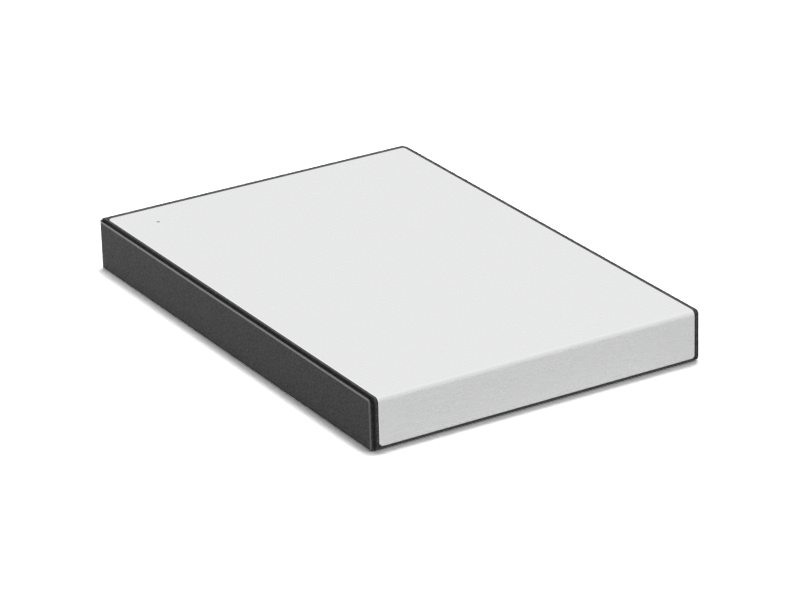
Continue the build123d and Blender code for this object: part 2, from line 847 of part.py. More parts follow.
stator_bore = sleeve_radius + seat_gap
stator_radius = hub_bore - magnet_ring - air_gap
stator_z = well_z + motor_boss
tooth_root = stator_bore + stator_ring
shoe_half_angle = math.radians(180 / stator_teeth - shoe_gap_angle / 2)
shoe_length = 2 * stator_radius * math.sin(shoe_half_angle)
shoe_reach = stator_radius * math.cos(shoe_half_angle)
with BuildPart() as stator_core:
    with BuildSketch(Plane((0, spindle_y, stator_z))):
        RegularPolygon(tooth_root, 2 * stator_teeth)
        with PolarLocations(0, stator_teeth):
            Rectangle(shoe_reach, tooth_width, align=(Align.MIN, Align.CENTER))
        with PolarLocations(shoe_reach, stator_teeth):
            Rectangle(tooth_width / 2, shoe_length, align=(Align.MAX, Align.CENTER))
        Circle(stator_bore, mode=Mode.SUBTRACT)
    extrude(amount=stator_height)
save(stator_core, "stator_core")

winding_radius = (tooth_root + shoe_reach - tooth_width / 2) / 2
with BuildPart() as stator_windings:
    with Locations((*spindle, stator_z + stator_height / 2)):
        with PolarLocations(winding_radius, stator_teeth):
            Box(winding_length, tooth_width + 2 * winding_wall, stator_height + 2 * winding_wall)
            Box(
                winding_length,
                tooth_width + 2 * seat_gap,
                stator_height + 2 * seat_gap,
                mode=Mode.SUBTRACT,
            )
save(stator_windings, "stator_windings")

# Head stack: three arms on one hub, four sprung beams with sliders, and the voice coil in its fork

head_lift = fly_gap + slider_thickness + beam_thickness
arm_bottom = well_z + arm_clearance
arm_top = cover_inner - arm_clearance
arm_levels = [
    (arm_bottom, lower_disk_z - head_lift),
    (lower_disk_z + disk_thickness + head_lift, upper_disk_z - head_lift),
    (stack_top + head_lift, arm_top),
]
coil_z = (arm_bottom + arm_top - coil_thickness) / 2


def pivot_plane(angle, z):
    """Plane at the pivot with its X axis along the given direction."""
    direction = math.radians(angle)
    return Plane((pivot_x, pivot_y, z), x_dir=(math.cos(direction), math.sin(direction), 0))


def arm_half_width(reach):
    """Half the width of a tapered arm at this distance from the pivot."""
    return (arm_root_width + (arm_tip_width - arm_root_width) * reach / arm_plate_length) / 2


eye_start = arm_hub_radius + arm_wall
eye_end = arm_plate_length - arm_tip_width - arm_wall
with BuildPart() as head_arm:
    with BuildSketch(pivot_plane(park_angle, arm_bottom)):
        Circle(arm_hub_radius)
    extrude(amount=arm_top - arm_bottom)
    for low, high in arm_levels:
        with BuildSketch(pivot_plane(park_angle, low)):
            with BuildLine():
                Polyline(
                    (0, -arm_root_width / 2),
                    (arm_plate_length, -arm_tip_width / 2),
                    (arm_plate_length, arm_tip_width / 2),
                    (0, arm_root_width / 2),
                    close=True,
                )
            make_face()
            with BuildLine():
                Polyline(
                    (eye_start, -arm_half_width(eye_start) + arm_wall),
                    (eye_end, -arm_half_width(eye_end) + arm_wall),
                    (eye_end, arm_half_width(eye_end) - arm_wall),
                    (eye_start, arm_half_width(eye_start) - arm_wall),
                    close=True,
                )
            make_face(mode=Mode.SUBTRACT)
        extrude(amount=high - low)
    with BuildSketch(pivot_plane(coil_angle, coil_z)):
        for side in (-1, 1):
            with Locations(Location((0, 0, 0), (0, 0, side * fork_half_angle))):
                Rectangle(coil_outer, fork_width, align=(Align.MIN, Align.CENTER))
    extrude(amount=coil_thickness)
    with Locations((*pivot, arm_bottom)):
        Cylinder(bearing_radius + seat_gap, arm_top - arm_bottom, align=on_base, mode=Mode.SUBTRACT)
save(head_arm, "head_arm")

with BuildPart() as voice_coil:
    coil_plane = pivot_plane(coil_angle, coil_z)
    eye_half_span = coil_half_span - math.degrees(coil_wall / coil_inner)
    winding = sector_area(coil_plane, coil_inner, coil_outer, -coil_half_span, coil_half_span)
    eye = sector_area(
        coil_plane, coil_inner + coil_wall, coil_outer - coil_wall, -eye_half_span, eye_half_span
    )
    extrude(winding, amount=coil_thickness)
    extrude(eye, amount=coil_thickness, mode=Mode.SUBTRACT)
save(voice_coil, "voice_coil")

pivot_bearing = ring(
    arm_bottom, arm_top - arm_bottom, bearing_radius, pivot_radius + running_gap, pivot
)
save(pivot_bearing, "pivot_bearing")

surfaces = [
    (lower_disk_z, -1),
    (lower_disk_z + disk_thickness, 1),
    (upper_disk_z, -1),
    (stack_top, 1),
]
beam_root = arm_plate_length - arm_tip_width
with BuildPart() as head_suspensions:
    for z, away in surfaces:
        beam_z = z + away * (fly_gap + slider_thickness)
        with BuildSketch(pivot_plane(park_angle, beam_z)):
            with BuildLine():
                Polyline(
                    (beam_root, -arm_tip_width / 2 + fit),
                    (arm_plate_length, -arm_tip_width / 2 + fit),
                    (arm_length, -slider_width / 2),
                    (arm_length + slider_length / 2, -tab_width / 2),
                    (arm_length + tab_reach, -tab_width / 2),
                    (arm_length + tab_reach, tab_width / 2),
                    (arm_length + slider_length / 2, tab_width / 2),
                    (arm_length, slider_width / 2),
                    (arm_plate_length, arm_tip_width / 2 - fit),
                    (beam_root, arm_tip_width / 2 - fit),
                    close=True,
                )
            make_face()
        extrude(amount=away * beam_thickness)
save(head_suspensions, "head_suspensions")

with BuildPart() as head_sliders:
    for z, away in surfaces:
        with BuildSketch(pivot_plane(park_angle, z + away * fly_gap)):
            with Locations((arm_length, 0)):
                Rectangle(slider_length, slider_width)
        extrude(amount=away * slider_thickness)
save(head_sliders, "head_sliders")

# Fixed round the head stack: pivot post, yokes, magnets, parking ramp, flex cable and its connector

with BuildPart() as pivot_post:
    with Locations((*pivot, well_z)):
        Cylinder(pivot_radius, cover_inner - well_z, align=on_base)
save(pivot_post, "pivot_post")

lower_magnet_z = coil_z - coil_gap - magnet_thickness
upper_magnet_z = coil_z + coil_thickness + coil_gap
upper_yoke_z = upper_magnet_z + magnet_thickness
leg_high = coil_angle + fork_sweep + yoke_leg_gap
leg_low = coil_angle - swing - fork_sweep - yoke_leg_gap
yoke_start = leg_low - yoke_leg_angle
yoke_end = leg_high + yoke_leg_angle
magnet_start = coil_angle - swing - coil_half_span
magnet_end = coil_angle + coil_half_span
with BuildPart() as lower_yoke:
    plate = sector_area(pivot_plane(0, well_z), yoke_inner, yoke_outer, yoke_start, yoke_end)
    extrude(plate, amount=lower_magnet_z - well_z)
save(lower_yoke, "lower_yoke")

with BuildPart() as upper_yoke:
    plate = sector_area(pivot_plane(0, upper_yoke_z), yoke_inner, yoke_outer, yoke_start, yoke_end)
    extrude(plate, amount=cover_inner - yoke_top_gap - upper_yoke_z)
    for start in (yoke_start, leg_high):
        leg = sector_area(
            pivot_plane(0, lower_magnet_z),
            (yoke_inner + yoke_outer) / 2,
            yoke_outer,
            start,
            start + yoke_leg_angle,
        )
        extrude(leg, amount=upper_yoke_z - lower_magnet_z)
save(upper_yoke, "upper_yoke")

for name, z in (("lower_magnet", lower_magnet_z), ("upper_magnet", upper_magnet_z)):
    with BuildPart() as magnet:
        extrude(
            sector_area(pivot_plane(0, z), coil_inner, coil_outer, magnet_start, magnet_end),
            amount=magnet_thickness,
        )
    save(magnet, name)

finger_start = arm_length + slider_length / 2 + arm_clearance
ramp_start = arm_length + tab_reach + arm_clearance
finger_length = ramp_start + ramp_depth / 2 - finger_start
beam_clear = fly_gap + slider_thickness - ramp_gap
with BuildPart() as load_ramp:
    with BuildSketch(pivot_plane(park_angle, well_z)):
        with Locations((ramp_start + ramp_depth / 2, 0)):
            Rectangle(ramp_depth, ramp_width)
    extrude(amount=stack_top + beam_clear - well_z)
    for z in (lower_disk_z, upper_disk_z):
        with BuildSketch(pivot_plane(park_angle, z - beam_clear)):
            with Locations((finger_start, 0)):
                Rectangle(finger_length, finger_width, align=(Align.MIN, Align.CENTER))
        extrude(amount=disk_thickness + 2 * beam_clear)
save(load_ramp, "load_ramp")

flex_z = (arm_bottom + arm_top - flex_height) / 2
connector_x = pivot_x + arm_hub_radius + flex_run
connector_y = arm_bay_back - connector_width / 2 - seat_gap
flex_start_radius = arm_hub_radius + flex_gap
with BuildPart() as flex_connector:
    with Locations((connector_x + connector_length / 2, connector_y, well_z)):
        Box(connector_length, connector_width, flex_z + flex_height - well_z, align=on_base)
save(flex_connector, "flex_connector")

with BuildPart() as flex_cable:
    with BuildSketch(Plane.XY.offset(flex_z)):
        with BuildLine() as flex_path:
            bend = CenterArc(pivot, flex_start_radius + flex_thickness / 2, flex_start_angle, flex_wrap)
            Line(bend @ 0, (connector_x - seat_gap, connector_y))
        trace(flex_path.line, flex_thickness)
    extrude(amount=flex_height)
save(flex_cable, "flex_cable")

# Bridge board with its socket, receptacle, chips and status light

with BuildPart() as bridge_board:
    with Locations((0, bridge_middle, bridge_z)):
        Box(2 * bridge_half, bridge_back - bridge_front, bridge_thickness, align=on_base)
save(bridge_board, "bridge_board")

socket_back = back - port_setback
with BuildPart() as usb_socket_shell:
    extrude(port_area(socket_back, 0), amount=port_length)
    extrude(port_area(socket_back, -port_sheet), amount=port_length, mode=Mode.SUBTRACT)
save(usb_socket_shell, "usb_socket_shell")

blades = [
    (port_left + port_main_lobe / 2, port_main_blade),
    (port_left + port_main_lobe + port_side_lobe / 2, port_side_blade),
]
blade_z = port_z + port_height / 2 - port_sheet - 3 * blade_thickness / 2
blade_back = socket_back - port_length + insulator_depth
blade_length = port_length - insulator_depth - blade_setback
with BuildPart() as usb_socket_insulator:
    extrude(port_area(blade_back, -port_sheet - seat_gap), amount=insulator_depth)
    for x, width in blades:
        with Locations((x, blade_back, blade_z)):
            Box(width, blade_length, blade_thickness, align=(Align.CENTER, Align.MIN, Align.MIN))
save(usb_socket_insulator, "usb_socket_insulator")

with BuildPart() as usb_contacts:
    for x, width in blades:
        with Locations((x, blade_back + blade_length / 2, blade_z - contact_thickness / 2)):
            with GridLocations(width / blade_contacts, 0, blade_contacts, 1):
                Box(width / blade_contacts / 2, blade_length - blade_thickness, contact_thickness)
save(usb_contacts, "usb_contacts")

receptacle_front = board_back + receptacle_gap
receptacle_z = drive_bottom + receptacle_bottom
with BuildPart() as sata_receptacle:
    with Locations((sata_x, receptacle_front, receptacle_z)):
        Box(
            tongue_total + 2 * tongue_thickness,
            receptacle_depth,
            notch_roof - 2 * fit - receptacle_z,
            align=(Align.CENTER, Align.MIN, Align.MIN),
        )
    for x, width in ((signal_x, signal_tongue), (power_x, power_tongue)):
        slot_low = tongue_z - contact_thickness - tongue_clearance
        with Locations((x, receptacle_front, slot_low)):
            Box(
                width + 2 * tongue_clearance,
                tongue_length,
                tongue_z + tongue_thickness + tongue_clearance - slot_low,
                align=(Align.CENTER, Align.MIN, Align.MIN),
                mode=Mode.SUBTRACT,
            )
        with Locations((x - width / 2 - tongue_clearance, receptacle_front, slot_low)):
            Box(
                tongue_thickness + 2 * tongue_clearance,
                tongue_length,
                tongue_z + 2 * tongue_thickness + tongue_clearance - slot_low,
                align=(Align.MIN, Align.MIN, Align.MIN),
                mode=Mode.SUBTRACT,
            )
save(sata_receptacle, "sata_receptacle")

for name, inset, size in bridge_chips:
    with BuildPart() as chip:
        with Locations((bridge_half - inset, bridge_middle, bridge_top)):
            Box(*size, align=on_base)
        chamfer(chip.edges().group_by(Axis.Z)[-1], size[2] / 6)
    save(chip, name)

with BuildPart() as bridge_capacitors:
    with Locations((bridge_half - capacitor_inset, bridge_middle, bridge_top)):
        with GridLocations(*capacitor_pitch, capacitor_columns, capacitor_rows):
            Box(*capacitor_size, align=on_base)
save(bridge_capacitors, "bridge_capacitors")

with BuildPart() as status_light:
    with Locations((*light_spot, bridge_top)):
        Box(light_length, light_width, light_height, align=on_base)
save(status_light, "status_light")
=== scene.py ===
import math
import bpy
from mathutils import Matrix, Vector


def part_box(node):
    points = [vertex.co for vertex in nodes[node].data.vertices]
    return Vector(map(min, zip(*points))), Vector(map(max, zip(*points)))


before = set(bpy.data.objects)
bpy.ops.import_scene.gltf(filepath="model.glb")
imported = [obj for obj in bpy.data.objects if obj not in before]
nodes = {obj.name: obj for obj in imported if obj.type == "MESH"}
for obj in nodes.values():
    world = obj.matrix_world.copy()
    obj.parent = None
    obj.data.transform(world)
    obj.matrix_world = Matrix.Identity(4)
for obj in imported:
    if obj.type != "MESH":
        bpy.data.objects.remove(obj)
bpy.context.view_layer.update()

bpy.context.scene.view_settings.view_transform = "Standard"

# The base of the drive is a pressure die casting in aluminium, with a dull, slightly mottled skin. It
# carries the motor, the arm and the boards, and all else in the drive is screwed or pressed to it.
cast_grey = (0.47, 0.475, 0.48)
micron = 0.000001


def add_node(tree, kind, inputs, **options):
    """Add a shader node, set its options, and link or set its inputs."""
    node = tree.nodes.new("ShaderNode" + kind)
    for name, value in options.items():
        setattr(node, name, value)
    for key, value in inputs.items():
        if isinstance(value, bpy.types.NodeSocket):
            tree.links.new(value, node.inputs[key])
        else:
            node.inputs[key].default_value = value
    return node


def calculate(tree, operation, *values):
    """Add a Math node and give its result."""
    return add_node(tree, "Math", dict(enumerate(values)), operation=operation).outputs[0]


def new_group(name, inputs, outputs):
    """Start a shader node group, and give it with the sockets inside its two ends."""
    group = bpy.data.node_groups.new(name, "ShaderNodeTree")
    for label, kind, value in inputs:
        socket = group.interface.new_socket(name=label, in_out="INPUT", socket_type="NodeSocket" + kind)
        socket.default_value = value
    for label, kind in outputs:
        group.interface.new_socket(name=label, in_out="OUTPUT", socket_type="NodeSocket" + kind)
    return group, group.nodes.new("NodeGroupInput").outputs, group.nodes.new("NodeGroupOutput").inputs


# A noise texture's values lie mostly between these two
noise_low = 0.28
noise_high = 0.72
roughness_swing = 0.06


def vary(group, given, result, pattern):
    """Lighten and darken the tone, and roughen the finish, by a pattern that runs from 0 to 1."""
    even = add_node(
        group, "MapRange", {"Value": pattern, "From Min": noise_low, "From Max": noise_high, "To Min": -1.0}
    ).outputs[0]
    swing = calculate(group, "MULTIPLY_ADD", even, given["Contrast"], 1.0)
    tone = add_node(group, "VectorMath", {0: given["Tone"], "Scale": swing}, operation="SCALE")
    group.links.new(tone.outputs["Vector"], result["Colour"])
    rough = calculate(group, "MULTIPLY_ADD", even, roughness_swing, given["Roughness"])
    group.links.new(rough, result["Roughness"])
    group.links.new(pattern, result["Height"])


finish_inputs = [
    ("Tone", "Color", (0.5, 0.5, 0.5, 1.0)),
    ("Contrast", "Float", 0.1),
    ("Roughness", "Float", 0.5),
]
finish_outputs = [("Colour", "Color"), ("Roughness", "Float"), ("Height", "Float")]

# Fine even grain, as on castings, moulded plastic, rubber, foam and resin, in grains to the metre
speckle, given, result = new_group("speckle", finish_inputs + [("Grains", "Float", 2000.0)], finish_outputs)
place = add_node(speckle, "TexCoord", {})
grain = add_node(
    speckle, "TexNoise", {"Vector": place.outputs["Object"], "Scale": given["Grains"], "Detail": 3.0}
)
vary(speckle, given, result, grain.outputs["Fac"])

relief_strength = 0.6


def finished(name, group, tone, contrast, roughness, depth, pattern, metallic=0.0, specular=0.5):
    """Make a material whose colour, roughness and relief come from one of the finish groups."""
    material = bpy.data.materials.new(name)
    material.use_nodes = True
    tree = material.node_tree
    shader = tree.nodes["Principled BSDF"]
    shader.inputs["Metallic"].default_value = metallic
    shader.inputs["Specular IOR Level"].default_value = specular
    surface = tree.nodes.new("ShaderNodeGroup")
    surface.node_tree = group
    surface.inputs["Tone"].default_value = (*tone, 1.0)
    surface.inputs["Contrast"].default_value = contrast
    surface.inputs["Roughness"].default_value = roughness
    for socket, value in pattern.items():
        surface.inputs[socket].default_value = value
    relief = add_node(
        tree, "Bump", {"Height": surface.outputs["Height"], "Distance": depth, "Strength": relief_strength}
    )
    tree.links.new(surface.outputs["Colour"], shader.inputs["Base Color"])
    tree.links.new(surface.outputs["Roughness"], shader.inputs["Roughness"])
    tree.links.new(relief.outputs["Normal"], shader.inputs["Normal"])
    return material


def dress(material, *names):
    """Give the named pieces this material alone."""
    for name in names:
        mesh = nodes[name].data
        mesh.materials.clear()
        mesh.materials.append(material)


cast_aluminium = finished(
    "cast_aluminium",
    speckle,
    cast_grey,
    contrast=0.12,
    roughness=0.52,
    depth=50 * micron,
    pattern={"Grains": 1800.0},
    metallic=1.0,
)
dress(cast_aluminium, "drive_base")

# The fixed half of the spindle motor: a bronze bearing sleeve pressed into the casting, and round it a core
# of stacked steel sheets with nine teeth, each wound with enamelled copper wire.
bronze_brown = (0.60, 0.43, 0.22)
core_grey = (0.20, 0.20, 0.21)
enamel_copper = (0.62, 0.27, 0.12)
spindle_low, spindle_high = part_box("spindle_shaft")
spindle_centre = (spindle_low + spindle_high) / 2
sheets_per_metre = 2900.0
wires_per_metre = 4200.0

# Marks left by a lathe, in rings about a centre
turned, given, result = new_group(
    "turned",
    finish_inputs + [("Centre", "Vector", (0.0, 0.0, 0.0)), ("Rings", "Float", 8000.0)],
    finish_outputs,
)
place = add_node(turned, "TexCoord", {})
out = add_node(turned, "VectorMath", {0: place.outputs["Object"], 1: given["Centre"]}, operation="SUBTRACT")
flat = add_node(turned, "VectorMath", {0: out.outputs["Vector"], 1: (1.0, 1.0, 0.0)}, operation="MULTIPLY")
reach = add_node(turned, "VectorMath", {0: flat.outputs["Vector"]}, operation="LENGTH")
count = calculate(turned, "MULTIPLY", reach.outputs["Value"], given["Rings"])
rings = add_node(turned, "TexNoise", {"W": count, "Scale": 1.0, "Detail": 2.0}, noise_dimensions="1D")
vary(turned, given, result, rings.outputs["Fac"])


def lathe_finish(name, tone, contrast, roughness, centre, rings):
    return finished(
        name,
        turned,
        tone,
        contrast,
        roughness,
        depth=10 * micron,
        pattern={"Centre": centre, "Rings": rings},
        metallic=1.0,
    )


# Even layers one on another, as in stacked sheets and wound wire
layered, given, result = new_group(
    "layered", finish_inputs + [("Layers", "Vector", (0.0, 0.0, 3000.0))], finish_outputs
)
place = add_node(layered, "TexCoord", {})
stretch = add_node(
    layered, "VectorMath", {0: place.outputs["Object"], 1: given["Layers"]}, operation="MULTIPLY"
)
split = add_node(layered, "SeparateXYZ", {0: stretch.outputs["Vector"]})
across = calculate(layered, "ADD", split.outputs["X"], split.outputs["Y"])
height = calculate(layered, "ADD", across, split.outputs["Z"])
wave = calculate(layered, "PINGPONG", height, 1.0)
vary(layered, given, result, wave)

sleeve_bronze = lathe_finish(
    "sleeve_bronze", bronze_brown, contrast=0.08, roughness=0.30, centre=spindle_centre, rings=8000.0
)
dress(sleeve_bronze, "bearing_sleeve")
core_sheets = finished(
    "core_sheets",
    layered,
    core_grey,
    contrast=0.25,
    roughness=0.45,
    depth=30 * micron,
    pattern={"Layers": (0.0, 0.0, sheets_per_metre)},
    metallic=0.8,
)
dress(core_sheets, "stator_core")
copper_wire = finished(
    "copper_wire",
    layered,
    enamel_copper,
    contrast=0.25,
    roughness=0.28,
    depth=40 * micron,
    pattern={"Layers": (wires_per_metre, wires_per_metre, wires_per_metre)},
    metallic=0.9,
)
dress(copper_wire, "stator_windings")

# The rotor is an aluminium hub, turned to take the disks, with a steel shaft pressed in its middle and a
# ring of bonded magnet powder glued inside its skirt.
machined_grey = (0.66, 0.665, 0.67)
turned_grey = (0.50, 0.505, 0.51)
powder_black = (0.055, 0.055, 0.058)
machined_aluminium = lathe_finish(
    "machined_aluminium", machined_grey, contrast=0.07, roughness=0.27, centre=spindle_centre, rings=9000.0
)
dress(machined_aluminium, "spindle_hub")
shaft_steel = lathe_finish(
    "shaft_steel", turned_grey, contrast=0.05, roughness=0.18, centre=spindle_centre, rings=16000.0
)
dress(shaft_steel, "spindle_shaft")
bonded_magnet = finished(
    "bonded_magnet",
    speckle,
    powder_black,
    contrast=0.30,
    roughness=0.62,
    depth=30 * micron,
    pattern={"Grains": 5000.0},
    metallic=0.3,
)
dress(bonded_magnet, "rotor_magnet")

# Two aluminium disks with a polished magnetic film, kept apart by a turned spacer ring. A spring steel clamp
# holds them down with one flat-headed screw in the shaft.
disk_silver = (0.76, 0.765, 0.775)
clamp_grey = (0.56, 0.565, 0.57)
screw_grey = (0.34, 0.345, 0.355)
disk_film = lathe_finish(
    "disk_film", disk_silver, contrast=0.012, roughness=0.035, centre=spindle_centre, rings=30000.0
)
dress(disk_film, "lower_disk", "upper_disk")
dress(machined_aluminium, "disk_spacer")
clamp_steel = lathe_finish(
    "clamp_steel", clamp_grey, contrast=0.06, roughness=0.30, centre=spindle_centre, rings=7000.0
)
dress(clamp_steel, "disk_clamp")
screw_steel = finished(
    "screw_steel",
    speckle,
    screw_grey,
    contrast=0.10,
    roughness=0.30,
    depth=10 * micron,
    pattern={"Grains": 6000.0},
    metallic=1.0,
)
dress(screw_steel, "clamp_screw")

# The arm is cut from an aluminium extrusion and turns on a steel bearing cartridge round a fixed post. Thin
# steel springs carry the ceramic heads at its tips, and a flat coil sits between its rear fingers.
spring_grey = (0.58, 0.585, 0.59)
slider_black = (0.075, 0.075, 0.082)
pivot_low, pivot_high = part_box("pivot_post")
pivot_centre = (pivot_low + pivot_high) / 2

# Fine lines along one direction, as on rolled, brushed or milled metal, in lines to the metre
brushed, given, result = new_group(
    "brushed", finish_inputs + [("Lines", "Vector", (40.0, 3500.0, 3500.0))], finish_outputs
)
place = add_node(brushed, "TexCoord", {})
stretch = add_node(
    brushed, "VectorMath", {0: place.outputs["Object"], 1: given["Lines"]}, operation="MULTIPLY"
)
lines = add_node(
    brushed, "TexNoise", {"Vector": stretch.outputs["Vector"], "Scale": 1.0, "Detail": 3.0, "Roughness": 0.6}
)
vary(brushed, given, result, lines.outputs["Fac"])


def brushed_metal(name, tone, contrast, roughness, depth, lines):
    return finished(name, brushed, tone, contrast, roughness, depth, pattern={"Lines": lines}, metallic=1.0)


pivot_steel = lathe_finish(
    "pivot_steel", turned_grey, contrast=0.06, roughness=0.22, centre=pivot_centre, rings=9000.0
)
dress(pivot_steel, "pivot_post", "pivot_bearing")
arm_aluminium = brushed_metal(
    "arm_aluminium",
    machined_grey,
    contrast=0.07,
    roughness=0.30,
    depth=10 * micron,
    lines=(2600.0, 2600.0, 120.0),
)
dress(arm_aluminium, "head_arm")
spring_steel = brushed_metal(
    "spring_steel",
    spring_grey,
    contrast=0.06,
    roughness=0.22,
    depth=5 * micron,
    lines=(90.0, 2800.0, 2800.0),
)
dress(spring_steel, "head_suspensions")
slider_ceramic = finished(
    "slider_ceramic",
    speckle,
    slider_black,
    contrast=0.15,
    roughness=0.16,
    depth=4 * micron,
    pattern={"Grains": 9000.0},
)
dress(slider_ceramic, "head_sliders")
dress(copper_wire, "voice_coil")

# Two nickel-plated magnets sit on stamped steel yokes above and below the coil. The yokes are screwed to the
# casting, and their gap is just wide enough for the coil to swing in.
nickel_grey = (0.60, 0.59, 0.56)
yoke_grey = (0.52, 0.525, 0.53)
magnet_plating = finished(
    "magnet_plating",
    speckle,
    nickel_grey,
    contrast=0.06,
    roughness=0.20,
    depth=6 * micron,
    pattern={"Grains": 1500.0},
    metallic=1.0,
)
dress(magnet_plating, "lower_magnet", "upper_magnet")
yoke_steel = brushed_metal(
    "yoke_steel",
    yoke_grey,
    contrast=0.08,
    roughness=0.32,
    depth=10 * micron,
    lines=(120.0, 2400.0, 2400.0),
)
dress(yoke_steel, "lower_yoke", "upper_yoke")

# The ramp that lifts the heads off the disks is a small moulding in pale acetal. It is screwed to the
# casting just outside the disks, and its fingers reach between the springs of the parked arm.
acetal_cream = (0.62, 0.60, 0.52)
ramp_acetal = finished(
    "ramp_acetal",
    speckle,
    acetal_cream,
    contrast=0.05,
    roughness=0.36,
    depth=10 * micron,
    pattern={"Grains": 2600.0},
)
dress(ramp_acetal, "load_ramp")

# An amber polyimide film with copper tracks takes the heads' signals from the arm to a connector block in
# the floor of the casting. The block is moulded in black plastic, like the drive's other connectors.
film_amber = (0.44, 0.16, 0.025)
connector_black = (0.022, 0.022, 0.024)
tracks_per_metre = 1700.0
flex_film = finished(
    "flex_film",
    layered,
    film_amber,
    contrast=0.30,
    roughness=0.22,
    depth=10 * micron,
    pattern={"Layers": (0.0, 0.0, tracks_per_metre)},
)
dress(flex_film, "flex_cable")
connector_plastic = finished(
    "connector_plastic",
    speckle,
    connector_black,
    contrast=0.20,
    roughness=0.42,
    depth=20 * micron,
    pattern={"Grains": 3000.0},
)
dress(connector_plastic, "flex_connector")

# The drive is closed by a cover stamped from steel sheet, rolled along the drive's length. A foamed rubber
# gasket seals it to the casting, and four screws hold it down.
rubber_black = (0.020, 0.020, 0.021)
cover_grey = (0.55, 0.555, 0.56)
seal_rubber = finished(
    "seal_rubber",
    speckle,
    rubber_black,
    contrast=0.25,
    roughness=0.72,
    depth=40 * micron,
    pattern={"Grains": 2600.0},
)
dress(seal_rubber, "cover_gasket")
cover_steel = brushed_metal(
    "cover_steel",
    cover_grey,
    contrast=0.05,
    roughness=0.34,
    depth=10 * micron,
    lines=(2600.0, 60.0, 2600.0),
)
dress(cover_steel, "drive_cover")
dress(screw_steel, "cover_screws")

# The drive's own circuit board lies in a recess under the casting. It is glass-filled resin under green
# lacquer with the copper tracks showing through, and carries the drive's three chips.
lacquer_green = (0.012, 0.085, 0.042)
track_green = (0.030, 0.160, 0.075)
resin_black = (0.018, 0.018, 0.019)
gold_yellow = (0.80, 0.55, 0.20)
track_width = 0.10
track_blur = 0.1
track_run = 2.6
track_row = 0.5
pad_radius = 0.2
no_copper = (0.0, 0.0, 0.0, 1.0)
all_copper = (1.0, 1.0, 1.0, 1.0)

# A Mix node's sockets that take the two colours and give the mixed one
colour_a = 6
colour_b = 7
mixed_colour = 2

# Tracks and round pads under lacquer, with the copper a little rougher by Contrast
tracks, given, result = new_group(
    "tracks",
    finish_inputs + [("Track tone", "Color", (0.1, 0.3, 0.2, 1.0)), ("Pitch", "Float", 500.0)],
    finish_outputs,
)
place = add_node(tracks, "TexCoord", {})
courses = add_node(
    tracks,
    "TexBrick",
    {
        "Vector": place.outputs["Object"],
        "Scale": given["Pitch"],
        "Mortar Size": track_width,
        "Mortar Smooth": track_blur,
        "Brick Width": track_run,
        "Row Height": track_row,
        "Color1": no_copper,
        "Color2": no_copper,
        "Mortar": all_copper,
    },
)
pads = add_node(tracks, "TexVoronoi", {"Vector": place.outputs["Object"], "Scale": given["Pitch"]})
on_pad = calculate(tracks, "LESS_THAN", pads.outputs["Distance"], pad_radius)
copper = calculate(tracks, "MAXIMUM", courses.outputs["Color"], on_pad)
tone = add_node(
    tracks, "Mix", {0: copper, colour_a: given["Tone"], colour_b: given["Track tone"]}, data_type="RGBA"
)
tracks.links.new(tone.outputs[mixed_colour], result["Colour"])
gloss = calculate(tracks, "MULTIPLY_ADD", copper, given["Contrast"], given["Roughness"])
tracks.links.new(gloss, result["Roughness"])
tracks.links.new(copper, result["Height"])

board_lacquer = finished(
    "board_lacquer",
    tracks,
    lacquer_green,
    contrast=0.05,
    roughness=0.30,
    depth=20 * micron,
    pattern={"Track tone": (*track_green, 1.0)},
)
dress(board_lacquer, "drive_board")
chip_resin = finished(
    "chip_resin",
    speckle,
    resin_black,
    contrast=0.25,
    roughness=0.50,
    depth=20 * micron,
    pattern={"Grains": 4500.0},
)
dress(chip_resin, "drive_controller", "cache_memory", "motor_driver")
dress(connector_plastic, "sata_plug")
gold_flash = brushed_metal(
    "gold_flash",
    gold_yellow,
    contrast=0.05,
    roughness=0.24,
    depth=5 * micron,
    lines=(2400.0, 90.0, 2400.0),
)
dress(gold_flash, "sata_contacts")

# A narrow second board across the back end turns the drive's signals into those of the socket. Its plug-in
# receptacle meets the drive's plug, and its parts are soldered on top.
ferrite_grey = (0.060, 0.060, 0.064)
capacitor_tan = (0.36, 0.24, 0.14)
can_grey = (0.62, 0.62, 0.60)
dress(board_lacquer, "bridge_board")
dress(chip_resin, "bridge_chip", "flash_chip")
pressed_ferrite = finished(
    "pressed_ferrite",
    speckle,
    ferrite_grey,
    contrast=0.20,
    roughness=0.46,
    depth=30 * micron,
    pattern={"Grains": 3500.0},
)
dress(pressed_ferrite, "power_inductor")
fired_ceramic = finished(
    "fired_ceramic",
    speckle,
    capacitor_tan,
    contrast=0.12,
    roughness=0.34,
    depth=10 * micron,
    pattern={"Grains": 5000.0},
)
dress(fired_ceramic, "bridge_capacitors")
plated_can = brushed_metal(
    "plated_can",
    can_grey,
    contrast=0.04,
    roughness=0.22,
    depth=5 * micron,
    lines=(200.0, 2600.0, 2600.0),
)
dress(plated_can, "crystal")
dress(connector_plastic, "sata_receptacle")

# The socket in the back end is a folded, nickel-plated steel shell round a black tongue with gold contacts.
# A tiny white light beside it, cast in milky resin, faces the foot of a clear rod.
light_white = (0.75, 0.75, 0.70)
dress(plated_can, "usb_socket_shell")
dress(connector_plastic, "usb_socket_insulator")
dress(gold_flash, "usb_contacts")
light_resin = finished(
    "light_resin",
    speckle,
    light_white,
    contrast=0.04,
    roughness=0.25,
    depth=4 * micron,
    pattern={"Grains": 4000.0},
)
dress(light_resin, "status_light")

